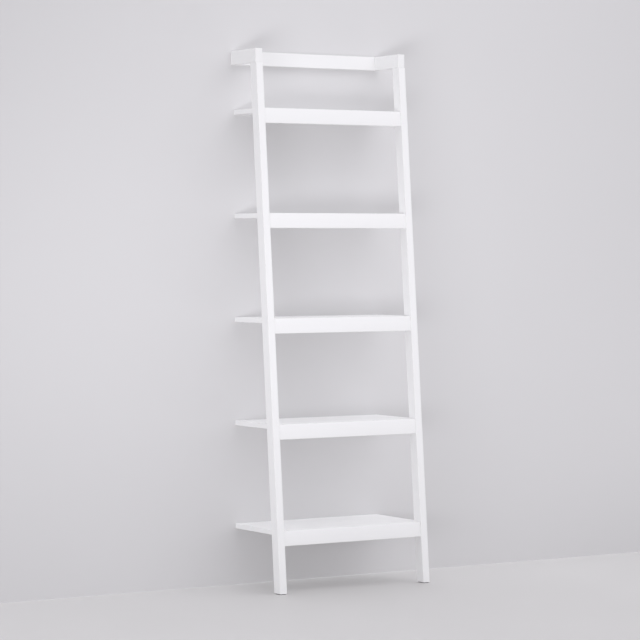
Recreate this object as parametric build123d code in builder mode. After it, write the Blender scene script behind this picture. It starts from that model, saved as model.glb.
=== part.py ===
from build123d import *
import os
from math import cos, radians, sin, tan

# Leaning ladder shelf in lacquered board: two stiles lean towards a wall and carry five shelves, and level
# arms on their tops reach back to the wall. X runs along the wall, Y towards it and Z up. The origin is on
# the floor, in the middle of the width and of the depth. Sizes are in millimetres, and the lean in degrees.

# Overall sizes
overall_width = 590.0
overall_depth = 315.0
overall_height = 1800.0
lean_angle = 4.8

# Stiles and feet
stile_width = 26.0
stile_depth = 40.0
frame_edge_radius = 1.5
stile_top_chamfer = 1.0
foot_pad_thickness = 2.0
foot_pad_inset = 3.0
foot_pad_corner_radius = 3.0

# Top frame
arm_height = 46.0
rear_rail_thickness = 16.0

# Front rails, one under the front edge of each shelf
front_rail_height = 50.0
front_rail_thickness = 20.0
front_rail_recess = 3.0
tenon_length = 16.0
tenon_thickness = 10.0
tenon_shoulder = 10.0

# Shelf panels
shelf_count = 5
lowest_shelf_height = 207.0
top_shelf_drop = 197.0
panel_thickness = 16.0
panel_side_inset = 10.5
panel_wall_gap = 1.0
panel_edge_radius = 1.0
tongue_length = 8.0
tongue_thickness = 6.0

# Dowels of the top frame
dowel_radius = 4.0
dowel_length = 32.0
arm_dowel_spacing = 16.0
rear_rail_dowel_spacing = 22.0

# Bent steel fittings, with holes for screws
fitting_thickness = 2.0
fitting_bend_radius = 3.0
fitting_corner_crop = 4.0
brace_width = 18.0
brace_reach = 26.0
brace_drop = 24.0
brace_spacing = 300.0
brace_screw_offset = 15.0
bracket_width = 22.0
bracket_reach = 36.0
bracket_drop = 20.0
bracket_spacing = 400.0
bracket_screw_offset = 14.0
bracket_screw_spacing = 14.0
wall_hole_radius = 2.5
wall_hole_drop = 12.0
screw_hole_radius = 2.0

# Clearances
joint_clearance = 0.2
notch_clearance = 0.3
dowel_clearance = 0.1
dowel_end_clearance = 0.5

# Places worked out from the sizes above
sides = {"left": -1, "right": 1}
lean_slope = tan(radians(lean_angle))
lean_stretch = 1 / cos(radians(lean_angle))
lean_axis = Axis((0, 0, 0), (0, sin(radians(lean_angle)), cos(radians(lean_angle))))
front_y = -overall_depth / 2
wall_y = overall_depth / 2
outer_x = overall_width / 2
inner_x = outer_x - stile_width
stile_x = outer_x - stile_width / 2
stile_top = overall_height - arm_height
rail_back = front_rail_recess + front_rail_thickness
rail_middle = front_rail_recess + front_rail_thickness / 2
rear_rail_y = wall_y - rear_rail_thickness / 2
panel_half_width = outer_x - panel_side_inset
panel_back_y = wall_y - panel_wall_gap
shelf_pitch = (overall_height - top_shelf_drop - lowest_shelf_height) / (shelf_count - 1)
shelf_tops = [lowest_shelf_height + shelf_pitch * level for level in range(shelf_count)]
dowel_hole_radius = dowel_radius + dowel_clearance
dowel_hole_depth = dowel_length / 2 + dowel_end_clearance
fitting_middle = fitting_thickness / 2
fitting_hole_depth = fitting_thickness * 2
right_x = (1, 0, 0)
back_y = (0, 1, 0)
up_z = (0, 0, 1)
down_z = (0, 0, -1)
rail_back_normal = (0, cos(radians(lean_angle)), -sin(radians(lean_angle)))


def lean_y(depth, height):
    """Y of the leaning plane that lies this deep behind the stiles' front faces, at a height."""
    return front_y + (height - foot_pad_thickness) * lean_slope + depth * lean_stretch


def lean_bar(front, back, low, high):
    """Corners in Y and Z of a leaning bar between two depths, cut level at two heights."""
    return [
        (lean_y(front, low), low),
        (lean_y(back, low), low),
        (lean_y(back, high), high),
        (lean_y(front, high), high),
    ]


def facing(points, direction):
    """A plane at each point, facing one way."""
    return [Plane(origin=point, z_dir=direction) for point in points]


def drill(points, direction, radius, depth):
    """Holes into the open part, each entering at a point on the face that looks in this direction."""
    with Locations(*facing(points, direction)):
        Hole(radius=radius, depth=depth)


def leg_corners(fitting):
    """The short edges at the corners of a bent fitting's two leg ends."""
    leg_ends = fitting.faces().filter_by(GeomType.PLANE).sort_by(SortBy.AREA)[:2]
    return leg_ends.edges().filter_by(Axis.X, reverse=True)


# Points that the pieces on both sides of a joint share
arm_front_y = lean_y(0, overall_height)
arm_dowel_y = (arm_front_y + lean_y(stile_depth, stile_top)) / 2
rear_rail_z = overall_height - arm_height / 2


def arm_dowel_points(side):
    """Where the dowels cross from a stile's top into its arm."""
    return [(side * stile_x, arm_dowel_y + step * arm_dowel_spacing / 2, stile_top) for step in (-1, 1)]


def rear_rail_dowel_points(side):
    """Where the dowels cross from the rear rail into an arm."""
    step_z = rear_rail_dowel_spacing / 2
    return [(side * inner_x, rear_rail_y, rear_rail_z + step * step_z) for step in (-1, 1)]


def tenon_bar(top, slack):
    """Outline of a front rail's tenon, or of its mortise when slack is added."""
    half = tenon_thickness / 2 + slack
    low = top - front_rail_height + tenon_shoulder - slack
    return lean_bar(rail_middle - half, rail_middle + half, low, top - tenon_shoulder + slack)


def tongue_bar(top, slack):
    """Outline of a panel's tongue, or of its groove when slack is added."""
    middle = top - panel_thickness / 2
    half = tongue_thickness / 2 + slack
    return lean_bar(rail_back - tongue_length - slack, rail_back, middle - half, middle + half)


brace_xs = {"left": -brace_spacing / 2, "right": brace_spacing / 2}
bracket_xs = {"left": -bracket_spacing / 2, "right": bracket_spacing / 2}
pieces = {}

# Stiles: leaning bars with a level cut at both ends, mortised for the front rails
for name, side in sides.items():
    with BuildPart() as stile:
        with BuildSketch(Plane.YZ.offset(side * stile_x)):
            Polygon(*lean_bar(0, stile_depth, foot_pad_thickness, stile_top), align=None)
        extrude(amount=stile_width / 2, both=True)
        chamfer(stile.faces().sort_by(Axis.Z)[-1].edges(), stile_top_chamfer)
        fillet(stile.edges().filter_by(lean_axis), frame_edge_radius)
        for top in shelf_tops:
            with BuildSketch(Plane.YZ.offset(side * inner_x)):
                Polygon(*tenon_bar(top, joint_clearance), align=None)
            extrude(amount=side * (tenon_length + joint_clearance), mode=Mode.SUBTRACT)
        drill(arm_dowel_points(side), up_z, dowel_hole_radius, dowel_hole_depth)
    pieces[f"{name}_stile"] = stile

# Foot pads: thin non-slip pads under the stiles
for name, side in sides.items():
    with BuildPart() as foot_pad:
        foot_y = lean_y(stile_depth / 2, foot_pad_thickness)
        with BuildSketch(Plane.XY):
            with Locations((side * stile_x, foot_y)):
                RectangleRounded(
                    stile_width - 2 * foot_pad_inset,
                    stile_depth * lean_stretch - 2 * foot_pad_inset,
                    foot_pad_corner_radius,
                )
        extrude(amount=foot_pad_thickness)
    pieces[f"{name}_foot_pad"] = foot_pad

# Arms: level bars on the stiles' tops, plumb at the front and against the wall behind
for name, side in sides.items():
    with BuildPart() as arm:
        with BuildSketch(Plane.YZ.offset(side * stile_x)):
            Polygon(
                (arm_front_y, stile_top),
                (wall_y, stile_top),
                (wall_y, overall_height),
                (arm_front_y, overall_height),
                align=None,
            )
        extrude(amount=stile_width / 2, both=True)
        fillet(arm.edges().filter_by(Axis.Y) + arm.edges().group_by(Axis.Y)[0], frame_edge_radius)
        drill(arm_dowel_points(side), down_z, dowel_hole_radius, dowel_hole_depth)
        drill(rear_rail_dowel_points(side), (-side, 0, 0), dowel_hole_radius, dowel_hole_depth)
    pieces[f"{name}_arm"] = arm

# Rear rail: between the arms, against the wall
with BuildPart() as rear_rail:
    with BuildSketch(Plane.YZ):
        with Locations((rear_rail_y, rear_rail_z)):
            Rectangle(rear_rail_thickness, arm_height)
    extrude(amount=inner_x, both=True)
    fillet(rear_rail.edges().filter_by(Axis.X).group_by(Axis.Y)[0], frame_edge_radius)
    for side in sides.values():
        drill(rear_rail_dowel_points(side), (side, 0, 0), dowel_hole_radius, dowel_hole_depth)
pieces["rear_rail"] = rear_rail

# Front rails: leaning bars with level tops and stub tenons, grooved behind for the panels
for level, top in enumerate(shelf_tops, start=1):
    with BuildPart() as front_rail:
        with BuildSketch(Plane.YZ):
            Polygon(*lean_bar(front_rail_recess, rail_back, top - front_rail_height, top), align=None)
        extrude(amount=inner_x, both=True)
        fillet(front_rail.edges().filter_by(Axis.X).sort_by(Axis.Y)[:3], frame_edge_radius)
        with BuildSketch(Plane.YZ):
            Polygon(*tongue_bar(top, joint_clearance), align=None)
        extrude(amount=inner_x, both=True, mode=Mode.SUBTRACT)
        for side in sides.values():
            with BuildSketch(Plane.YZ.offset(side * inner_x)):
                Polygon(*tenon_bar(top, 0), align=None)
            extrude(amount=side * tenon_length)
    pieces[f"front_rail_{level}"] = front_rail

# Shelf panels: tongued into the front rails and notched round the stiles
for level, top in enumerate(shelf_tops, start=1):
    under = top - panel_thickness
    with BuildPart() as panel:
        with BuildSketch(Plane.YZ):
            Polygon(
                (lean_y(rail_back, under), under),
                (panel_back_y, under),
                (panel_back_y, top),
                (lean_y(rail_back, top), top),
                align=None,
            )
        extrude(amount=panel_half_width, both=True)
        fillet(
            panel.edges().filter_by(Axis.Y) + panel.edges().filter_by(Axis.X).group_by(Axis.Y)[-1],
            panel_edge_radius,
        )
        for side in sides.values():
            with BuildSketch(Plane.YZ.offset(side * (inner_x - notch_clearance))):
                Polygon(*lean_bar(0, stile_depth + notch_clearance, under, top), align=None)
            extrude(amount=side * stile_width, mode=Mode.SUBTRACT)
        with BuildSketch(Plane.YZ):
            Polygon(*tongue_bar(top, 0), align=None)
        extrude(amount=inner_x - notch_clearance, both=True)
    pieces[f"shelf_panel_{level}"] = panel

# Corner braces: bent steel in the corner behind a front rail, under every shelf but the top one
for level, top in enumerate(shelf_tops[:-1], start=1):
    under = top - panel_thickness
    bend_z = under - fitting_middle
    bend_y = lean_y(rail_back + fitting_middle, bend_z)
    foot_z = under - brace_drop
    panel_hole_y = lean_y(rail_back, under) + brace_screw_offset
    rail_hole_z = under - brace_screw_offset
    rail_hole_y = lean_y(rail_back, rail_hole_z)
    for name, x in brace_xs.items():
        with BuildPart() as brace:
            with BuildSketch(Plane.YZ.offset(x)):
                with BuildLine():
                    FilletPolyline(
                        (bend_y + brace_reach, bend_z),
                        (bend_y, bend_z),
                        (lean_y(rail_back + fitting_middle, foot_z), foot_z),
                        radius=fitting_bend_radius,
                    )
                trace(line_width=fitting_thickness)
            extrude(amount=brace_width / 2, both=True)
            chamfer(leg_corners(brace), fitting_corner_crop)
            drill([(x, panel_hole_y, under)], down_z, screw_hole_radius, fitting_hole_depth)
            drill([(x, rail_hole_y, rail_hole_z)], rail_back_normal, screw_hole_radius, fitting_hole_depth)
        pieces[f"corner_brace_{level}_{name}"] = brace

# Wall brackets: bent steel under the top panel, with a hole for a screw into the wall
bracket_top = shelf_tops[-1] - panel_thickness
bracket_z = bracket_top - fitting_middle
bracket_screw_ys = [wall_y - bracket_screw_offset - step * bracket_screw_spacing for step in (0, 1)]
for name, x in bracket_xs.items():
    with BuildPart() as bracket:
        with BuildSketch(Plane.YZ.offset(x)):
            with BuildLine():
                FilletPolyline(
                    (wall_y - bracket_reach, bracket_z),
                    (wall_y - fitting_middle, bracket_z),
                    (wall_y - fitting_middle, bracket_z - bracket_drop),
                    radius=fitting_bend_radius,
                )
            trace(line_width=fitting_thickness)
        extrude(amount=bracket_width / 2, both=True)
        chamfer(leg_corners(bracket), fitting_corner_crop)
        drill([(x, y, bracket_top) for y in bracket_screw_ys], down_z, screw_hole_radius, fitting_hole_depth)
        drill([(x, wall_y, bracket_top - wall_hole_drop)], back_y, wall_hole_radius, fitting_hole_depth)
    pieces[f"wall_bracket_{name}"] = bracket

# Dowels of the top frame
with BuildPart() as arm_dowels:
    for side in sides.values():
        with Locations(*facing(arm_dowel_points(side), up_z)):
            Cylinder(dowel_radius, dowel_length)
pieces["arm_dowels"] = arm_dowels

with BuildPart() as rear_rail_dowels:
    for side in sides.values():
        with Locations(*facing(rear_rail_dowel_points(side), right_x)):
            Cylinder(dowel_radius, dowel_length)
pieces["rear_rail_dowels"] = rear_rail_dowels

os.makedirs("parts", exist_ok=True)
for name, piece in pieces.items():
    piece.part.label = name
    export_step(piece.part, f"parts/{name}.step")
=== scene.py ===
import math

import bmesh
import bpy
from mathutils import Matrix, Vector


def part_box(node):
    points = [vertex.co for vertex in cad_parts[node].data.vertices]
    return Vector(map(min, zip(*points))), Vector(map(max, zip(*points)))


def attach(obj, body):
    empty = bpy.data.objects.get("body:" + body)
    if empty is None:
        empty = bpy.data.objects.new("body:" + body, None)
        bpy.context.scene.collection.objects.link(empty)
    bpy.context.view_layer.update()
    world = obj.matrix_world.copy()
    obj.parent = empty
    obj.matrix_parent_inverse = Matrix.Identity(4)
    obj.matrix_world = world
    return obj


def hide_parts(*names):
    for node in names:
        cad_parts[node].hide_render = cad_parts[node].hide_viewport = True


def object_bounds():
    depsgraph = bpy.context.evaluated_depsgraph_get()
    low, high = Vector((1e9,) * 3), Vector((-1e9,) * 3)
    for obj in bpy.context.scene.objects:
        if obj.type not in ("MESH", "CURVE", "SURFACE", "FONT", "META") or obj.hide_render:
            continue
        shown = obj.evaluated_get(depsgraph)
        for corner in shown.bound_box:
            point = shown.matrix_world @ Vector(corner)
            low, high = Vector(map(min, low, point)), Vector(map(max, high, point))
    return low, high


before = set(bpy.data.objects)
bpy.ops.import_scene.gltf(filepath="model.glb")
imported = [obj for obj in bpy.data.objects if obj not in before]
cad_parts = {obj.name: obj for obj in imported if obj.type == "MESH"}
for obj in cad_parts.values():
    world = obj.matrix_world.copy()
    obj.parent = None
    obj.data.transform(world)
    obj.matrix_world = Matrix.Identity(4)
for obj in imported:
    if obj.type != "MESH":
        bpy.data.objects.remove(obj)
cad_low, cad_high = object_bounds()

bl_info = {
    "name": "Leaning Ladder Shelf",
    "version": (1, 0, 0),
    "blender": (4, 5, 0),
    "location": "View3D > Sidebar > Ladder Shelf",
    "description": "Builds the boards, fittings and stage of a leaning ladder shelf around its CAD frame",
    "category": "Object",
}


def family(start="", end=""):
    """CAD nodes whose names start and end with the given words, in order."""
    return sorted(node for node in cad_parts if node.startswith(start) and node.endswith(end))


# Names and places read from the frame, in metres. X runs to the right, Y to the back and Z up.
BODY = "root"
SIDES = ("left", "right")
RAILS = family(start="front_rail_")
PANELS = family(start="shelf_panel_")
BRACES = family(start="corner_brace_")
BRACKETS = family(start="wall_bracket_")
DOWELS = family(end="_dowels")
PADS = family(end="_foot_pad")
rail_low, rail_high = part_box(RAILS[0])
top_rail_low, top_rail_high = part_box(RAILS[-1])
stile_low, stile_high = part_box("right_stile")
LEAN_SLOPE = (top_rail_high.y - rail_high.y) / (top_rail_high.z - rail_high.z)
LEAN_ANGLE = math.atan(LEAN_SLOPE)
RAIL_PITCH = (top_rail_high.z - rail_high.z) / (len(RAILS) - 1)
RAIL_HEIGHT = rail_high.z - rail_low.z
RAIL_DEPTH = rail_high.y - rail_low.y - LEAN_SLOPE * RAIL_HEIGHT
STILE_DEPTH = stile_high.y - stile_low.y - LEAN_SLOPE * (stile_high.z - stile_low.z)
INNER_X = stile_low.x
BACK_Y = cad_high.y
FRONT = Vector((0, -math.cos(LEAN_ANGLE), math.sin(LEAN_ANGLE)))
DOWN = Vector((0, 0, -1))


def stile_front(height):
    """Y of the stiles' front faces at a height."""
    return stile_low.y + LEAN_SLOPE * (height - stile_low.z)


def rail_back(height):
    """Y of the plane behind all the front rails at a height."""
    return rail_high.y + LEAN_SLOPE * (height - rail_high.z)


class LadderShelfSizes(bpy.types.PropertyGroup):
    """Sizes of the details that finish the boards and fittings."""

    frame_edge_radius: bpy.props.FloatProperty(
        name="Frame edge radius",
        description="Rounding along the stiles, arms and rails",
        default=0.0015,
        unit="LENGTH",
    )
    stile_top_radius: bpy.props.FloatProperty(
        name="Stile top radius",
        description="Rounding round the stiles' tops, under the arms",
        default=0.001,
        unit="LENGTH",
    )
    panel_edge_radius: bpy.props.FloatProperty(
        name="Panel edge radius",
        description="Rounding along the panels' open edges",
        default=0.001,
        unit="LENGTH",
    )
    joint_edge_radius: bpy.props.FloatProperty(
        name="Joint edge radius",
        description="Easing of edges that meet another board",
        default=0.0003,
        unit="LENGTH",
    )
    edge_segments: bpy.props.IntProperty(
        name="Edge segments",
        description="Facets across each rounded edge",
        default=5,
        min=1,
    )
    notch_clearance: bpy.props.FloatProperty(
        name="Notch clearance",
        description="Gap between a panel's notch and its stile",
        default=0.0003,
        unit="LENGTH",
    )
    fitting_thickness: bpy.props.FloatProperty(
        name="Fitting thickness",
        description="Thickness of the bent steel fittings",
        default=0.002,
        unit="LENGTH",
    )
    fitting_edge_radius: bpy.props.FloatProperty(
        name="Fitting edge radius",
        description="Burr rounding on the steel fittings",
        default=0.0003,
        unit="LENGTH",
    )
    brace_screw_offset: bpy.props.FloatProperty(
        name="Brace screw offset",
        description="From a brace's corner to its screws",
        default=0.015,
        unit="LENGTH",
    )
    bracket_screw_offset: bpy.props.FloatProperty(
        name="Bracket screw offset",
        description="From a bracket's back to its first screw",
        default=0.014,
        unit="LENGTH",
    )
    bracket_screw_spacing: bpy.props.FloatProperty(
        name="Bracket screw spacing",
        description="Between a bracket's two screws",
        default=0.014,
        unit="LENGTH",
    )
    screw_head_radius: bpy.props.FloatProperty(
        name="Screw head radius",
        description="Radius of the pan heads",
        default=0.0036,
        unit="LENGTH",
    )
    screw_head_height: bpy.props.FloatProperty(
        name="Screw head height",
        description="Height of the pan heads",
        default=0.0022,
        unit="LENGTH",
    )
    screw_recess_width: bpy.props.FloatProperty(
        name="Screw recess width",
        description="Width of the cross recess's arms",
        default=0.0009,
        unit="LENGTH",
    )


class LadderShelfFinishes(bpy.types.PropertyGroup):
    """Colours of the finishes."""

    lacquer: bpy.props.FloatVectorProperty(
        name="Lacquer",
        description="White satin lacquer",
        subtype="COLOR",
        default=(0.86, 0.86, 0.858),
    )
    lacquer_edge: bpy.props.FloatVectorProperty(
        name="Lacquer edge",
        description="Thinner lacquer on rounded edges",
        subtype="COLOR",
        default=(0.846, 0.845, 0.838),
    )
    zinc: bpy.props.FloatVectorProperty(
        name="Zinc",
        description="Bright zinc plate on steel",
        subtype="COLOR",
        default=(0.62, 0.63, 0.65),
    )
    rubber: bpy.props.FloatVectorProperty(
        name="Rubber",
        description="Matt grey rubber",
        subtype="COLOR",
        default=(0.03, 0.03, 0.032),
    )
    beech: bpy.props.FloatVectorProperty(
        name="Beech",
        description="Bare beech",
        subtype="COLOR",
        default=(0.55, 0.35, 0.19),
    )
    floor: bpy.props.FloatVectorProperty(
        name="Floor",
        description="Pale floor",
        subtype="COLOR",
        default=(0.566, 0.558, 0.552),
    )
    backdrop: bpy.props.FloatVectorProperty(
        name="Backdrop",
        description="Pale backdrop",
        subtype="COLOR",
        default=(0.683, 0.678, 0.681),
    )


class LadderShelfSettings(bpy.types.PropertyGroup):
    """Everything that a user of the shelf would change."""

    sizes: bpy.props.PointerProperty(
        type=LadderShelfSizes,
        name="Sizes",
        description="Detail sizes",
    )
    finishes: bpy.props.PointerProperty(
        type=LadderShelfFinishes,
        name="Finishes",
        description="Finish colours",
    )


def settings():
    """The scene's sizes and finishes."""
    group = bpy.context.scene.ladder_shelf
    return group.sizes, group.finishes


# Places of the sockets that share their names with others on the same node
MIX_COLOURS = (6, 7)
MIX_COLOUR_OUT = 2
COMPARE_WHOLE = (2, 3)
RANDOM_LIMITS = (2, 3)
RANDOM_OUT = 1


def add(tree, kind, inputs=None, **options):
    """A new node with its options set and its inputs linked to sockets or set to values."""
    node = tree.nodes.new(kind)
    for option, value in options.items():
        setattr(node, option, value)
    for key, value in (inputs or {}).items():
        if isinstance(value, bpy.types.NodeSocket):
            tree.links.new(value, node.inputs[key])
        else:
            node.inputs[key].default_value = value
    return node


def math_node(tree, operation, first, second):
    """The result of one sum on two values or sockets."""
    return add(tree, "ShaderNodeMath", {0: first, 1: second}, operation=operation).outputs["Value"]


# Values between which most of a noise pattern lies
PATTERN_LOW = 0.3
PATTERN_HIGH = 0.7


def new_material(name):
    """A material with an empty tree, a shader and the surface's own coordinates."""
    material = bpy.data.materials.new(name)
    material.use_nodes = True
    tree = material.node_tree
    tree.nodes.clear()
    shader = add(tree, "ShaderNodeBsdfPrincipled")
    add(tree, "ShaderNodeOutputMaterial", {"Surface": shader.outputs["BSDF"]})
    place = add(tree, "ShaderNodeTexCoord").outputs["Object"]
    return material, tree, shader, place


def noise(tree, place, scale, detail=2.0, roughness=0.5):
    """A noise pattern with features of about one over scale, in metres."""
    inputs = {"Vector": place, "Scale": scale, "Detail": detail, "Roughness": roughness}
    return add(tree, "ShaderNodeTexNoise", inputs).outputs["Fac"]


def stretched(tree, place, scale):
    """Coordinates scaled by their own amount along each axis."""
    return add(tree, "ShaderNodeMapping", {"Vector": place, "Scale": scale}).outputs["Vector"]


def spread(tree, value, low, high):
    """A pattern's middle stretched to run between two values."""
    source = {"Value": value, "From Min": PATTERN_LOW, "From Max": PATTERN_HIGH}
    return add(tree, "ShaderNodeMapRange", {**source, "To Min": low, "To Max": high}).outputs["Result"]


def between(tree, factor, first, second):
    """A colour that runs from one to another."""
    colours = ((*first, 1.0), (*second, 1.0))
    inputs = {"Factor": factor, **dict(zip(MIX_COLOURS, colours))}
    return add(tree, "ShaderNodeMix", inputs, data_type="RGBA").outputs[MIX_COLOUR_OUT]


def scaled(colour, share):
    """A colour made lighter or darker."""
    return tuple(channel * share for channel in colour)


def coat(tree, shader, colour, roughness):
    """Puts a colour and a roughness pattern on a shader."""
    tree.links.new(colour, shader.inputs["Base Color"])
    tree.links.new(roughness, shader.inputs["Roughness"])


def roughen(tree, shader, height, strength, distance):
    """Fine relief on a shader."""
    inputs = {"Height": height, "Strength": strength, "Distance": distance}
    bump = add(tree, "ShaderNodeBump", inputs)
    tree.links.new(bump.outputs["Normal"], shader.inputs["Normal"])


def lacquer_material(name, colour, smoothest, roughest):
    """Sprayed satin lacquer: a faint drift of tone and sheen over the boards, and a fine orange peel."""
    material, tree, shader, place = new_material(name)
    drift = noise(tree, place, scale=4.0)
    sheen = noise(tree, place, scale=35.0, detail=4.0)
    peel = noise(tree, place, scale=450.0, detail=1.0)
    tone = between(tree, drift, scaled(colour, share=0.985), colour)
    coat(tree, shader, tone, spread(tree, sheen, low=smoothest, high=roughest))
    roughen(tree, shader, peel, strength=0.12, distance=0.0001)
    return material


def zinc_material(name, colour):
    """Zinc plate over rolled steel: blotched crystals, and fine rolling lines along X."""
    material, tree, shader, place = new_material(name)
    shader.inputs["Metallic"].default_value = 1.0
    blotch = add(tree, "ShaderNodeTexVoronoi", {"Vector": place, "Scale": 320.0}).outputs["Color"]
    share = add(tree, "ShaderNodeSeparateColor", {"Color": blotch}).outputs["Red"]
    lines = noise(tree, stretched(tree, place, scale=(60.0, 2500.0, 2500.0)), scale=1.0, detail=3.0)
    tone = between(tree, share, scaled(colour, share=0.86), colour)
    coat(tree, shader, tone, spread(tree, lines, low=0.28, high=0.42))
    roughen(tree, shader, lines, strength=0.15, distance=0.00005)
    return material


def rubber_material(name, colour):
    """Matt rubber with a fine grain and a grey bloom."""
    material, tree, shader, place = new_material(name)
    bloom = noise(tree, place, scale=90.0, detail=3.0)
    grain = noise(tree, place, scale=1800.0, detail=2.0)
    tone = between(tree, bloom, colour, scaled(colour, share=1.8))
    coat(tree, shader, tone, spread(tree, grain, low=0.72, high=0.9))
    roughen(tree, shader, grain, strength=0.3, distance=0.0001)
    return material


def beech_material(name, colour):
    """Bare turned beech: short dark flecks in a straight grain."""
    material, tree, shader, place = new_material(name)
    fleck = noise(tree, stretched(tree, place, scale=(300.0, 300.0, 900.0)), scale=1.0, detail=4.0)
    tone = between(tree, fleck, scaled(colour, share=0.75), scaled(colour, share=1.15))
    coat(tree, shader, tone, spread(tree, fleck, low=0.55, high=0.7))
    roughen(tree, shader, fleck, strength=0.2, distance=0.0001)
    return material


def finish_material(name):
    """A finish of the shelf, made when it is first asked for."""
    if name in bpy.data.materials:
        return bpy.data.materials[name]
    colours = settings()[1]
    makers = {
        "satin_lacquer": lambda: lacquer_material(name, colours.lacquer, smoothest=0.31, roughest=0.41),
        "lacquer_edge": lambda: lacquer_material(name, colours.lacquer_edge, smoothest=0.25, roughest=0.35),
        "bright_zinc": lambda: zinc_material(name, colours.zinc),
        "matt_rubber": lambda: rubber_material(name, colours.rubber),
        "bare_beech": lambda: beech_material(name, colours.beech),
    }
    return makers[name]()


def place_piece(piece, slot, *nodes):
    """A finished piece that rides on the shelf and stands for CAD nodes."""
    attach(piece, BODY)
    if nodes:
        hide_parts(*nodes)
    return piece


def dress(node, material):
    """A new finish on a CAD node that keeps its shape."""
    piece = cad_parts[node]
    piece.data.materials.clear()
    piece.data.materials.append(finish_material(material))
    return piece


def plain_mesh(piece):
    """The piece with its modifiers made part of its mesh."""
    graph = bpy.context.evaluated_depsgraph_get()
    seen = piece.evaluated_get(graph)
    mesh = bpy.data.meshes.new_from_object(seen, preserve_all_data_layers=True, depsgraph=graph)
    mesh.name = piece.name
    old = piece.data
    piece.modifiers.clear()
    piece.data = mesh
    bpy.data.meshes.remove(old)
    return piece


def board(name, low, high, rounding):
    """A lacquered board between two level outlines. rounding gives an edge's radius from its two ends."""
    shape = bmesh.new()
    weight = shape.edges.layers.float.new("bevel_weight_edge")
    below = [shape.verts.new(corner) for corner in low]
    above = [shape.verts.new(corner) for corner in high]
    shape.faces.new(reversed(below))
    shape.faces.new(above)
    for i in range(len(low)):
        j = (i + 1) % len(low)
        shape.faces.new((below[i], below[j], above[j], above[i]))
    radii = {edge: rounding(*(vert.co for vert in edge.verts)) for edge in shape.edges}
    widest = max(radii.values())
    for edge, radius in radii.items():
        edge[weight] = radius / widest
    for face in shape.faces:
        face.smooth = True
    mesh = bpy.data.meshes.new(name)
    shape.to_mesh(mesh)
    shape.free()
    mesh.materials.append(finish_material("satin_lacquer"))
    mesh.materials.append(finish_material("lacquer_edge"))
    piece = bpy.data.objects.new(name, mesh)
    bpy.context.scene.collection.objects.link(piece)
    bevel = piece.modifiers.new("rounded edges", "BEVEL")
    bevel.limit_method = "WEIGHT"
    bevel.width = widest
    bevel.segments = settings()[0].edge_segments
    bevel.material = mesh.materials.find("lacquer_edge")
    piece.modifiers.new("flat faces", "WEIGHTED_NORMAL")
    return plain_mesh(piece)


def level_outline(left, right, front, back, height):
    """Corners of a level rectangle, anticlockwise from above."""
    return [(left, front, height), (right, front, height), (right, back, height), (left, back, height)]


class LADDERSHELF_OT_stiles(bpy.types.Operator):
    """Builds the two leaning stiles, cut level at the foot and at the top"""

    bl_idname = "ladder_shelf.stiles"
    bl_label = "Stiles"

    def execute(self, context):
        sizes = settings()[0]

        def rounding(a, b):
            """Long edges are rounded most, the top's less, and the foot's are only eased."""
            if abs(a.z - b.z) > STILE_DEPTH:
                return sizes.frame_edge_radius
            return sizes.stile_top_radius if a.z > STILE_DEPTH else sizes.joint_edge_radius

        for side in SIDES:
            node = f"{side}_stile"
            low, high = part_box(node)
            ends = []
            for z in (low.z, high.z):
                y = stile_front(z)
                ends.append(level_outline(low.x, high.x, y, y + STILE_DEPTH, z))
            place_piece(board(f"{side}_stile_board", *ends, rounding), "white_lacquer", node)
        return {"FINISHED"}


class LADDERSHELF_OT_top_frame(bpy.types.Operator):
    """Builds the level arms on the stiles' tops and the rear rail between them"""

    bl_idname = "ladder_shelf.top_frame"
    bl_label = "Top Frame"

    def execute(self, context):
        sizes = settings()[0]
        for node in (*(f"{side}_arm" for side in SIDES), "rear_rail"):
            low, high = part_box(node)
            ends = [level_outline(low.x, high.x, low.y, high.y, z) for z in (low.z, high.z)]

            def rounding(a, b, front=low.y, is_rail=(high - low).x > STILE_DEPTH):
                """An arm's long edges and front end are open, and so are the rear rail's long front edges."""
                is_long = abs(a.x - b.x) > STILE_DEPTH or abs(a.y - b.y) > STILE_DEPTH
                at_front = max(a.y, b.y) == front
                is_open = is_long and at_front if is_rail else is_long or at_front
                return sizes.frame_edge_radius if is_open else sizes.joint_edge_radius

            place_piece(board(f"{node}_board", *ends, rounding), "white_lacquer", node)
        return {"FINISHED"}


class LADDERSHELF_OT_shelf_panels(bpy.types.Operator):
    """Builds the shelf panels, notched round the stiles and bevelled against the front rails"""

    bl_idname = "ladder_shelf.shelf_panels"
    bl_label = "Shelf Panels"

    def execute(self, context):
        sizes = settings()[0]
        for node in PANELS:
            low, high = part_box(node)
            ends = [self.outline(low, high, z, sizes.notch_clearance) for z in (low.z, high.z)]

            def rounding(a, b, outer=high.x, back=high.y):
                """The ends and the back are open, and the rest meets a stile or a front rail."""
                is_open = min(abs(a.x), abs(b.x)) == outer or min(a.y, b.y) == back
                return sizes.panel_edge_radius if is_open else sizes.joint_edge_radius

            place_piece(board(f"{node}_board", *ends, rounding), "white_lacquer", node)
        return {"FINISHED"}

    def outline(self, low, high, z, clearance):
        """Corners of a panel at a height, anticlockwise from above, with a notch for each stile."""
        inner = INNER_X - clearance
        front = rail_back(z)
        notch = stile_front(z) + STILE_DEPTH + clearance
        return [
            (-inner, front, z),
            (inner, front, z),
            (inner, notch, z),
            (high.x, notch, z),
            (high.x, high.y, z),
            (low.x, high.y, z),
            (low.x, notch, z),
            (-inner, notch, z),
        ]


# Limits for joining and shading what the geometry trees and the CAD meshes hold, in metres and radians
MERGE_DISTANCE = 1e-6
RAIL_SHARP_ANGLE = math.radians(50)
SCREW_SHARP_ANGLE = math.radians(40)


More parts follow.
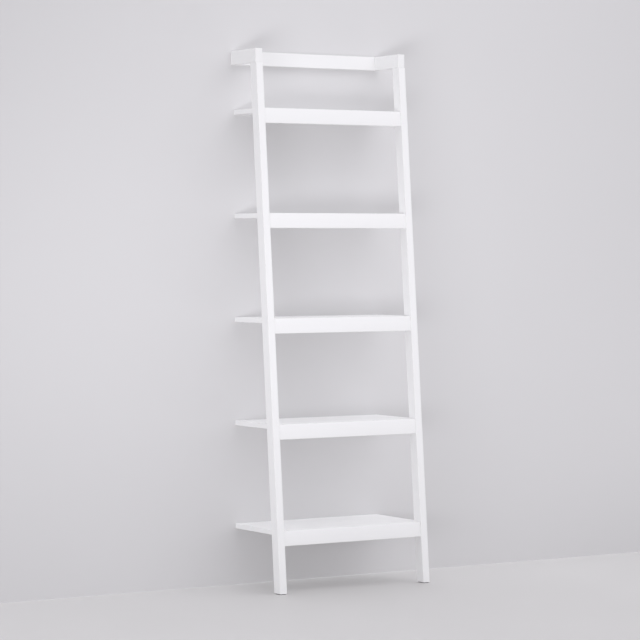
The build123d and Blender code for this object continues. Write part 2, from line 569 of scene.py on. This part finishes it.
def new_tree(name, **sockets):
    """A geometry tree with an output and named inputs of the given socket kinds."""
    tree = bpy.data.node_groups.new(name, "GeometryNodeTree")
    tree.interface.new_socket("Geometry", in_out="OUTPUT", socket_type="NodeSocketGeometry")
    tree.interface.new_socket("Geometry", in_out="INPUT", socket_type="NodeSocketGeometry")
    for label, kind in sockets.items():
        tree.interface.new_socket(label, in_out="INPUT", socket_type=f"NodeSocket{kind}")
    return tree, add(tree, "NodeGroupInput").outputs


def end_tree(tree, instances, *finishes):
    """Makes instances real and gives them their finishes, each a material and the faces that it is on."""
    made = add(tree, "GeometryNodeRealizeInstances", {"Geometry": instances}).outputs["Geometry"]
    for material, faces in finishes:
        inputs = {"Geometry": made, "Material": material, "Selection": faces}
        made = add(tree, "GeometryNodeSetMaterial", inputs).outputs["Geometry"]
    add(tree, "NodeGroupOutput", {"Geometry": made})


def grow(name, mesh, tree, sharp_angle, **values):
    """A piece made by a geometry tree on a mesh, with its inputs set, turned into a plain mesh."""
    piece = bpy.data.objects.new(name, mesh)
    bpy.context.scene.collection.objects.link(piece)
    modifier = piece.modifiers.new(tree.name, "NODES")
    modifier.node_group = tree
    names = {item.name: item.identifier for item in tree.interface.items_tree if item.in_out == "INPUT"}
    for label, value in values.items():
        modifier[names[label]] = value
    plain_mesh(piece)
    piece.data.polygons.foreach_set("use_smooth", [True] * len(piece.data.polygons))
    piece.data.set_sharp_from_angle(angle=sharp_angle)
    return piece


def vector(tree, x=0.0, y=0.0, z=0.0):
    """A vector socket from values or sockets."""
    return add(tree, "ShaderNodeCombineXYZ", {"X": x, "Y": y, "Z": z}).outputs["Vector"]


def join(tree, *parts):
    """Several geometries in one."""
    both = add(tree, "GeometryNodeJoinGeometry")
    for part in parts:
        tree.links.new(part, both.inputs["Geometry"])
    return both.outputs["Geometry"]


def shift(tree, geometry, z):
    """A geometry moved along Z."""
    inputs = {"Geometry": geometry, "Translation": vector(tree, z=z)}
    return add(tree, "GeometryNodeTransform", inputs).outputs["Geometry"]


# The upper back corner of the front rails' profile, which meets the panel, counted from the lower front one
PANEL_CORNER = 2


def rail_profile(tree, given):
    """A front rail's leaning profile, drawn flat, with all corners rounded but the one at the panel."""
    lean = math_node(tree, "MULTIPLY", given["Height"], given["Slope"])
    lean_back = math_node(tree, "ADD", lean, given["Depth"])
    corners = {
        "Point 1": (0.0, 0.0, 0.0),
        "Point 2": vector(tree, given["Depth"]),
        "Point 3": vector(tree, lean_back, given["Height"]),
        "Point 4": vector(tree, lean, given["Height"]),
    }
    outline = add(tree, "GeometryNodeCurvePrimitiveQuadrilateral", corners, mode="POINTS").outputs["Curve"]
    index = add(tree, "GeometryNodeInputIndex").outputs["Index"]
    same = dict(zip(COMPARE_WHOLE, (index, PANEL_CORNER)))
    at_panel = add(tree, "FunctionNodeCompare", same, data_type="INT", operation="EQUAL").outputs["Result"]
    easing = {"Switch": at_panel, "False": given["Radius"], "True": given["Joint"]}
    radius = add(tree, "GeometryNodeSwitch", easing, input_type="FLOAT").outputs["Output"]
    rounding = {"Curve": outline, "Count": given["Segments"], "Radius": radius}
    rounded = add(tree, "GeometryNodeFilletCurve", rounding, mode="POLY").outputs["Curve"]
    return add(tree, "GeometryNodeFillCurve", {"Curve": rounded}, mode="NGONS").outputs["Mesh"]


def front_rail_tree():
    """Leaning rails of one profile, repeated up the lean. Their rounded edges have a finish of their own."""
    floats = dict.fromkeys(("Length", "Depth", "Height", "Slope", "Pitch", "Radius", "Joint"), "Float")
    counts = dict.fromkeys(("Count", "Segments"), "Int")
    finishes = dict.fromkeys(("Finish", "Edge Finish"), "Material")
    tree, given = new_tree("front rails", **floats, **counts, Start="Vector", **finishes)
    face = rail_profile(tree, given)
    push = {"Mesh": face, "Offset": vector(tree, z=1.0), "Offset Scale": given["Length"], "Individual": False}
    far = add(tree, "GeometryNodeExtrudeMesh", push, mode="FACES").outputs["Mesh"]
    near = add(tree, "GeometryNodeFlipFaces", {"Mesh": face}).outputs["Mesh"]
    seam = {"Geometry": join(tree, near, far), "Distance": MERGE_DISTANCE}
    closed = add(tree, "GeometryNodeMergeByDistance", seam).outputs["Geometry"]
    quarter = math.pi / 2
    turn = {"Geometry": closed, "Rotation": (quarter, 0.0, quarter)}
    rail = add(tree, "GeometryNodeTransform", turn).outputs["Geometry"]
    rise = vector(tree, 0.0, math_node(tree, "MULTIPLY", given["Pitch"], given["Slope"]), given["Pitch"])
    steps = {"Count": given["Count"], "Start Location": given["Start"], "Offset": rise}
    line = add(tree, "GeometryNodeMeshLine", steps, mode="OFFSET").outputs["Mesh"]
    rails = add(tree, "GeometryNodeInstanceOnPoints", {"Points": line, "Instance": rail}).outputs["Instances"]
    area = add(tree, "GeometryNodeInputMeshFaceArea").outputs["Area"]
    widest_facet = math_node(tree, "MULTIPLY", given["Length"], given["Radius"])
    smaller = {0: area, 1: widest_facet}
    on_edge = add(tree, "FunctionNodeCompare", smaller, operation="LESS_THAN").outputs["Result"]
    end_tree(tree, rails, (given["Finish"], True), (given["Edge Finish"], on_edge))
    return tree


class LADDERSHELF_OT_front_rails(bpy.types.Operator):
    """Builds the front rails, one profile repeated up the lean"""

    bl_idname = "ladder_shelf.front_rails"
    bl_label = "Front Rails"

    def execute(self, context):
        sizes = settings()[0]
        values = {
            "Length": 2 * INNER_X,
            "Depth": RAIL_DEPTH,
            "Height": RAIL_HEIGHT,
            "Slope": LEAN_SLOPE,
            "Pitch": RAIL_PITCH,
            "Radius": sizes.frame_edge_radius,
            "Joint": sizes.joint_edge_radius,
            "Count": len(RAILS),
            "Segments": sizes.edge_segments,
            "Start": (-INNER_X, rail_back(rail_low.z) - RAIL_DEPTH, rail_low.z),
            "Finish": finish_material("satin_lacquer"),
            "Edge Finish": finish_material("lacquer_edge"),
        }
        mesh = bpy.data.meshes.new("front_rail_boards")
        piece = grow("front_rail_boards", mesh, front_rail_tree(), RAIL_SHARP_ANGLE, **values)
        place_piece(piece, "white_lacquer", *RAILS)
        return {"FINISHED"}


# The steel fittings: how flat a whole face is, how sharp a rounded edge is, and facets across the rounding
FLAT_ANGLE = math.radians(0.5)
BURR_ANGLE = math.radians(60)
BURR_SEGMENTS = 2


class LADDERSHELF_OT_fittings(bpy.types.Operator):
    """Finishes the bent steel braces and brackets in zinc, with their burrs rounded"""

    bl_idname = "ladder_shelf.fittings"
    bl_label = "Braces and Brackets"

    def execute(self, context):
        sizes = settings()[0]
        for node in (*BRACES, *BRACKETS):
            piece = dress(node, "bright_zinc")
            piece.modifiers.new("joined corners", "WELD").merge_threshold = MERGE_DISTANCE
            flat = piece.modifiers.new("whole flat faces", "DECIMATE")
            flat.decimate_type = "DISSOLVE"
            flat.angle_limit = FLAT_ANGLE
            bevel = piece.modifiers.new("rounded burrs", "BEVEL")
            bevel.limit_method = "ANGLE"
            bevel.angle_limit = BURR_ANGLE
            bevel.width = sizes.fitting_edge_radius
            bevel.segments = BURR_SEGMENTS
            piece.modifiers.new("flat faces", "WEIGHTED_NORMAL")
        return {"FINISHED"}


# The screws' mesh divisions, and the shares of a pan head's height and radius that shape its dome and recess
HEAD_CORNERS = 28
HEAD_BANDS = 2
HEAD_RINGS = 5
SHANK_CORNERS = 16
DOME_DROP = -0.45
DOME_POWER = 3.0
RECESS_SPAN = 1.15
JUST_ABOVE_MIDDLE = 0.0001
SCREW_SEED = 3
SCREWS_PER_BRACKET = 2


def cylinder(tree, corners, radius, depth, **divisions):
    """A closed cylinder about the origin."""
    inputs = {"Vertices": corners, **divisions, "Radius": radius, "Depth": depth}
    return add(tree, "GeometryNodeMeshCylinder", inputs, fill_type="NGON").outputs["Mesh"]


def pan_head(tree, given):
    """A domed screw head that stands on the origin, with a cross recess in its top."""
    radius, height, width = given["Head Radius"], given["Head Height"], given["Recess Width"]
    divisions = {"Side Segments": HEAD_BANDS, "Fill Segments": HEAD_RINGS}
    disc = cylinder(tree, HEAD_CORNERS, radius, height, **divisions)
    spot = add(tree, "GeometryNodeInputPosition").outputs["Position"]
    parts = add(tree, "ShaderNodeSeparateXYZ", {"Vector": spot}).outputs
    flat_spot = vector(tree, parts["X"], parts["Y"])
    from_axis = add(tree, "ShaderNodeVectorMath", {0: flat_spot}, operation="LENGTH").outputs["Value"]
    reach = math_node(tree, "DIVIDE", from_axis, radius)
    steepness = math_node(tree, "POWER", reach, DOME_POWER)
    fall = math_node(tree, "MULTIPLY", steepness, math_node(tree, "MULTIPLY", height, DOME_DROP))
    higher = {0: parts["Z"], 1: JUST_ABOVE_MIDDLE}
    on_top = add(tree, "FunctionNodeCompare", higher, operation="GREATER_THAN").outputs["Result"]
    bend = {"Geometry": disc, "Selection": on_top, "Offset": vector(tree, z=fall)}
    domed = add(tree, "GeometryNodeSetPosition", bend).outputs["Geometry"]
    lifted = shift(tree, domed, z=math_node(tree, "DIVIDE", height, 2))
    cut = add(tree, "GeometryNodeMeshBoolean", {"Mesh 1": lifted}, operation="DIFFERENCE", solver="EXACT")
    span = math_node(tree, "MULTIPLY", radius, RECESS_SPAN)
    for size in ((span, width), (width, span)):
        arm = add(tree, "GeometryNodeMeshCube", {"Size": vector(tree, *size, height)}).outputs["Mesh"]
        tree.links.new(shift(tree, arm, z=height), cut.inputs["Mesh 2"])
    return cut.outputs["Mesh"]


def screw_turn(tree, given):
    """A rotation that points Z along each spot's facing, after a turn by chance about Z."""
    stored = add(tree, "GeometryNodeInputNamedAttribute", {"Name": "facing"}, data_type="FLOAT_VECTOR")
    facing = {"Vector": stored.outputs["Attribute"]}
    aim = add(tree, "FunctionNodeAlignRotationToVector", facing, axis="Z").outputs["Rotation"]
    limits = dict(zip(RANDOM_LIMITS, (0.0, math.pi / 2)))
    chance = add(tree, "FunctionNodeRandomValue", {**limits, "Seed": given["Seed"]}, data_type="FLOAT")
    about = {"Axis": (0.0, 0.0, 1.0), "Angle": chance.outputs[RANDOM_OUT]}
    spin = add(tree, "FunctionNodeAxisAngleToRotation", about).outputs["Rotation"]
    both = {"Rotation": aim, "Rotate By": spin}
    return add(tree, "FunctionNodeRotateRotation", both, rotation_space="LOCAL").outputs["Rotation"]


def screw_tree():
    """Pan-head screws with a cross recess, one at each point, each turned by chance about its own axis."""
    lengths = ("Head Radius", "Head Height", "Recess Width", "Shank Radius", "Shank Length")
    floats = dict.fromkeys(lengths, "Float")
    tree, given = new_tree("pan head screws", **floats, Seed="Int", Finish="Material")
    head = pan_head(tree, given)
    rod = cylinder(tree, SHANK_CORNERS, given["Shank Radius"], given["Shank Length"])
    shank = shift(tree, rod, z=math_node(tree, "DIVIDE", given["Shank Length"], -2))
    screw = join(tree, head, shank)
    points = {"Points": given["Geometry"], "Instance": screw, "Rotation": screw_turn(tree, given)}
    screws = add(tree, "GeometryNodeInstanceOnPoints", points).outputs["Instances"]
    end_tree(tree, screws, (given["Finish"], True))
    return tree


class LADDERSHELF_OT_screws(bpy.types.Operator):
    """Sets pan-head screws on the braces and brackets"""

    bl_idname = "ladder_shelf.screws"
    bl_label = "Screws"

    def execute(self, context):
        sizes = settings()[0]
        spots = self.spots(sizes)
        mesh = bpy.data.meshes.new("wood_screws")
        mesh.from_pydata([spot for spot, facing in spots], [], [])
        facings = mesh.attributes.new("facing", "FLOAT_VECTOR", "POINT")
        facings.data.foreach_set("vector", [part for spot, facing in spots for part in facing])
        values = {
            "Head Radius": sizes.screw_head_radius,
            "Head Height": sizes.screw_head_height,
            "Recess Width": sizes.screw_recess_width,
            "Shank Radius": sizes.screw_head_radius / 2,
            "Shank Length": sizes.fitting_thickness,
            "Seed": SCREW_SEED,
            "Finish": finish_material("bright_zinc"),
        }
        piece = grow("wood_screws", mesh, screw_tree(), SCREW_SHARP_ANGLE, **values)
        place_piece(piece, "zinc_steel")
        return {"FINISHED"}

    def spots(self, sizes):
        """Where each screw's head sits on its fitting, and the way that it faces."""
        spots = []
        for node in BRACES:
            low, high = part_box(node)
            x = (low.x + high.x) / 2
            z = high.z - sizes.brace_screw_offset
            under = Vector((x, rail_back(high.z) + sizes.brace_screw_offset, high.z))
            behind = Vector((x, rail_back(z), z))
            spots.append((under + DOWN * sizes.fitting_thickness, DOWN))
            spots.append((behind - FRONT * sizes.fitting_thickness, -FRONT))
        for node in BRACKETS:
            low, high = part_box(node)
            for step in range(SCREWS_PER_BRACKET):
                y = BACK_Y - sizes.bracket_screw_offset - step * sizes.bracket_screw_spacing
                under = Vector(((low.x + high.x) / 2, y, high.z))
                spots.append((under + DOWN * sizes.fitting_thickness, DOWN))
        return spots


class LADDERSHELF_OT_feet_and_dowels(bpy.types.Operator):
    """Finishes the foot pads in rubber and the hidden dowels in beech"""

    bl_idname = "ladder_shelf.feet_and_dowels"
    bl_label = "Feet and Dowels"

    def execute(self, context):
        for node in PADS:
            dress(node, "matt_rubber")
        for node in DOWELS:
            dress(node, "bare_beech")
        return {"FINISHED"}


# The camera, in metres, radians and millimetres of lens and film
CAMERA_PLACE = Vector((-4.5738, -7.3908, 1.1268))
CAMERA_TURN = -0.54992
CAMERA_TILT = -0.02674
CAMERA_ROLL = -0.00285
CAMERA_LENS = 144.64
CAMERA_SENSOR = 36.0

# The floor, darkened with distance to a share of its colour as painted shade where its light falls off, and
# the backdrop, which is open to rays that start within its reach, in metres
FLOOR_SIZE = 120.0
FLOOR_PAINTED_SHADE_START = 1.8
FLOOR_PAINTED_SHADE_END = 6.0
FLOOR_PAINTED_SHADE_SHARE = 0.8
BACKDROP_WIDTH = 60.0
BACKDROP_HEIGHT = 30.0
BACKDROP_GAP = 0.002
BACKDROP_REACH = 0.012

# The lights, in metres, watts and degrees, and the sky's even strength and its gain towards some directions
LIGHT_TINT = (0.991, 0.984, 1.025)
SOFT_BOXES = {
    "top_light": {
        "place": (0.4, -1.4, 3.6),
        "aim": (0.0, 0.0, 1.6),
        "size": (3.0, 1.5),
        "power": 15.5,
        "spread": 180,
    },
    "low_fill": {
        "place": (-2.6, -2.6, 0.5),
        "aim": (0.0, 0.05, 1.16),
        "size": (2.0, 0.8),
        "power": 6.2,
        "spread": 60,
    },
    "floor_glow": {
        "place": (2.0, -1.6, 0.02),
        "aim": (2.0, -1.6, 2.0),
        "size": (2.4, 2.4),
        "power": 8.5,
        "spread": 180,
    },
}
SKY_EVEN = 0.655
SKY_GAINS = {(0, 0, 1): 0.08, (1, 0, 1): 0.463, (0, 1, 0): 0.464}


def stage_plane(name, corners, material):
    """A flat stage piece."""
    mesh = bpy.data.meshes.new(name)
    mesh.from_pydata(corners, [], [range(len(corners))])
    mesh.materials.append(material)
    plane = bpy.data.objects.new(name, mesh)
    bpy.context.scene.collection.objects.link(plane)
    return plane


def open_up(tree, shader, is_open):
    """Makes a shader clear where is_open is one."""
    clear = add(tree, "ShaderNodeBsdfTransparent").outputs["BSDF"]
    mix = add(tree, "ShaderNodeMixShader", {0: is_open, 1: shader.outputs["BSDF"], 2: clear})
    output = next(node for node in tree.nodes if node.type == "OUTPUT_MATERIAL")
    tree.links.new(mix.outputs["Shader"], output.inputs["Surface"])


def floor_material(colour):
    """Pale screed with soft clouds and a dull sheen, with painted shade that greys it far from the shelf, and
    clear from below.
    """
    material, tree, shader, place = new_material("pale_floor")
    cloud = noise(tree, place, scale=1.6, detail=5.0, roughness=0.6)
    tone = between(tree, cloud, scaled(colour, share=0.96), scaled(colour, share=1.03))
    # Painted shade: the colour darkens to a share of itself with distance from the shelf, as if the light
    # fell off there.
    distance = add(tree, "ShaderNodeVectorMath", {0: place}, operation="LENGTH").outputs["Value"]
    limits = {"From Min": FLOOR_PAINTED_SHADE_START, "From Max": FLOOR_PAINTED_SHADE_END, "To Min": 1.0, "To Max": FLOOR_PAINTED_SHADE_SHARE}
    painted_shade = add(tree, "ShaderNodeMapRange", {"Value": distance, **limits}, interpolation_type="SMOOTHSTEP")
    share = {0: tone, "Scale": painted_shade.outputs["Result"]}
    painted_shade_tone = add(tree, "ShaderNodeVectorMath", share, operation="SCALE").outputs["Vector"]
    coat(tree, shader, painted_shade_tone, spread(tree, cloud, low=0.5, high=0.62))
    open_up(tree, shader, add(tree, "ShaderNodeNewGeometry").outputs["Backfacing"])
    return material


def backdrop_material(colour):
    """Matt paint, clear from behind and to reflections in what stands close against it."""
    material, tree, shader, place = new_material("pale_backdrop")
    cloud = noise(tree, place, scale=0.8, detail=3.0)
    tone = between(tree, cloud, scaled(colour, share=0.985), scaled(colour, share=1.01))
    tree.links.new(tone, shader.inputs["Base Color"])
    shader.inputs["Roughness"].default_value = 0.9
    shader.inputs["Specular IOR Level"].default_value = 0.1
    behind = add(tree, "ShaderNodeNewGeometry").outputs["Backfacing"]
    length = add(tree, "ShaderNodeLightPath").outputs["Ray Length"]
    is_open = math_node(tree, "MAXIMUM", behind, math_node(tree, "LESS_THAN", length, BACKDROP_REACH))
    open_up(tree, shader, is_open)
    return material


class LADDERSHELF_OT_stage(bpy.types.Operator):
    """Sets the one-sided floor and backdrop, the soft light and the camera"""

    bl_idname = "ladder_shelf.stage"
    bl_label = "Stage"

    def execute(self, context):
        scene = context.scene
        self.surfaces()
        for name, box in SOFT_BOXES.items():
            self.soft_box(scene, name, **box)
        self.sky(scene)
        scene.view_settings.view_transform = "Standard"
        self.camera(scene)
        return {"FINISHED"}

    def surfaces(self):
        """The floor under the shelf, and the backdrop, which lets the light of the sky through."""
        colours = settings()[1]
        half = FLOOR_SIZE / 2
        corners = level_outline(-half, half, -half, half, cad_low.z)
        stage_plane("floor", corners, floor_material(colours.floor))
        y = BACK_Y + BACKDROP_GAP
        side = BACKDROP_WIDTH / 2
        corners = [(-side, y, 0), (side, y, 0), (side, y, BACKDROP_HEIGHT), (-side, y, BACKDROP_HEIGHT)]
        backdrop = stage_plane("backdrop", corners, backdrop_material(colours.backdrop))
        backdrop.visible_diffuse = False
        backdrop.visible_shadow = False

    def soft_box(self, scene, name, place, aim, size, power, spread):
        """A rectangular light that the camera doesn't see."""
        light = bpy.data.lights.new(name, "AREA")
        light.shape = "RECTANGLE"
        light.size, light.size_y = size
        light.energy = power
        light.color = LIGHT_TINT
        light.spread = math.radians(spread)
        lamp = bpy.data.objects.new(name, light)
        lamp.location = place
        lamp.rotation_euler = (Vector(aim) - Vector(place)).to_track_quat("-Z", "Y").to_euler()
        lamp.visible_camera = False
        scene.collection.objects.link(lamp)

    def sky(self, scene):
        """An even sky that is stronger towards some directions."""
        scene.world = bpy.data.worlds.new("soft studio")
        scene.world.use_nodes = True
        tree = scene.world.node_tree
        tree.nodes.clear()
        way = add(tree, "ShaderNodeTexCoord").outputs["Generated"]
        strength = SKY_EVEN
        for direction, gain in SKY_GAINS.items():
            inputs = {0: way, 1: Vector(direction).normalized()}
            towards = add(tree, "ShaderNodeVectorMath", inputs, operation="DOT_PRODUCT").outputs["Value"]
            lobe = math_node(tree, "MULTIPLY", math_node(tree, "MAXIMUM", towards, 0.0), gain)
            strength = math_node(tree, "ADD", lobe, strength)
        light = add(tree, "ShaderNodeBackground", {"Color": (*LIGHT_TINT, 1.0), "Strength": strength})
        add(tree, "ShaderNodeOutputWorld", {"Surface": light.outputs["Background"]})

    def camera(self, scene):
        """The photograph's camera."""
        lens = bpy.data.cameras.new("camera")
        lens.sensor_width = CAMERA_SENSOR
        lens.lens = CAMERA_LENS
        camera = bpy.data.objects.new("camera", lens)
        turn = Matrix.Rotation(CAMERA_TURN, 4, "Z") @ Matrix.Rotation(math.pi / 2 + CAMERA_TILT, 4, "X")
        camera.matrix_world = Matrix.Translation(CAMERA_PLACE) @ turn @ Matrix.Rotation(CAMERA_ROLL, 4, "Z")
        scene.collection.objects.link(camera)
        scene.camera = camera


STEPS = (
    LADDERSHELF_OT_stiles,
    LADDERSHELF_OT_top_frame,
    LADDERSHELF_OT_front_rails,
    LADDERSHELF_OT_shelf_panels,
    LADDERSHELF_OT_fittings,
    LADDERSHELF_OT_screws,
    LADDERSHELF_OT_feet_and_dowels,
    LADDERSHELF_OT_stage,
)


class LADDERSHELF_PT_panel(bpy.types.Panel):
    """Lists the shelf's settings and the steps that build it"""

    bl_idname = "LADDERSHELF_PT_panel"
    bl_label = "Ladder Shelf"
    bl_space_type = "VIEW_3D"
    bl_region_type = "UI"
    bl_category = "Ladder Shelf"

    def draw(self, context):
        for group in settings():
            box = self.layout.box()
            for name in group.__annotations__:
                box.prop(group, name)
        for step in STEPS:
            self.layout.operator(step.bl_idname)


CLASSES = (LadderShelfSizes, LadderShelfFinishes, LadderShelfSettings, *STEPS, LADDERSHELF_PT_panel)


def register():
    for item in CLASSES:
        bpy.utils.register_class(item)
    bpy.types.Scene.ladder_shelf = bpy.props.PointerProperty(type=LadderShelfSettings)


def unregister():
    del bpy.types.Scene.ladder_shelf
    for item in reversed(CLASSES):
        bpy.utils.unregister_class(item)


def main():
    register()
    for step in STEPS:
        getattr(bpy.ops.ladder_shelf, step.bl_idname.split(".")[1])()


if __name__ == "__main__":
    main()
